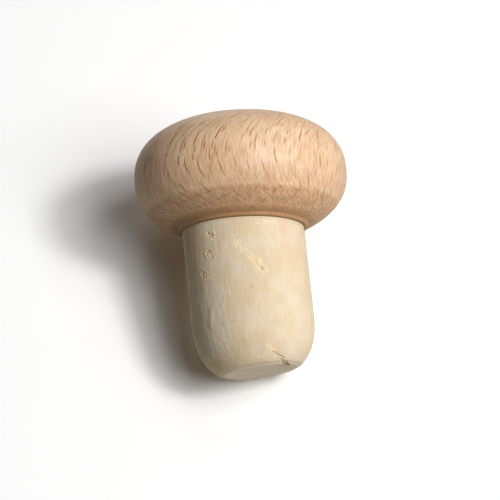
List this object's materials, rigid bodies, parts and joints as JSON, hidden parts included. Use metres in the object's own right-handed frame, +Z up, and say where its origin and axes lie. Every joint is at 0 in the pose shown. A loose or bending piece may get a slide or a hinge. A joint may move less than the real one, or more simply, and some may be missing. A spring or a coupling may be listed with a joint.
{
  "type": "bottle stopper",
  "caption": "Bottle stopper: a domed turned beech head glued onto a round-tipped natural cork shank with a flat cut end.",
  "frame": {"origin": "centre of the flat cut end of the cork shank, on which the stopper stands", "axes": "+Z up, square to the flat end, towards the head; the shank leans 2.8 degrees off +Z towards +X and +Y, and the head leans 3.25 degrees more towards +X"},
  "size_m": [0.0349, 0.035, 0.043],
  "materials": {
    "beech": "satin, sanded and lightly waxed",
    "cork": "matte, natural pale cork"
  },
  "bodies": {
    "root": {"head": "beech", "shank": "cork"}
  },
  "joints": []
}
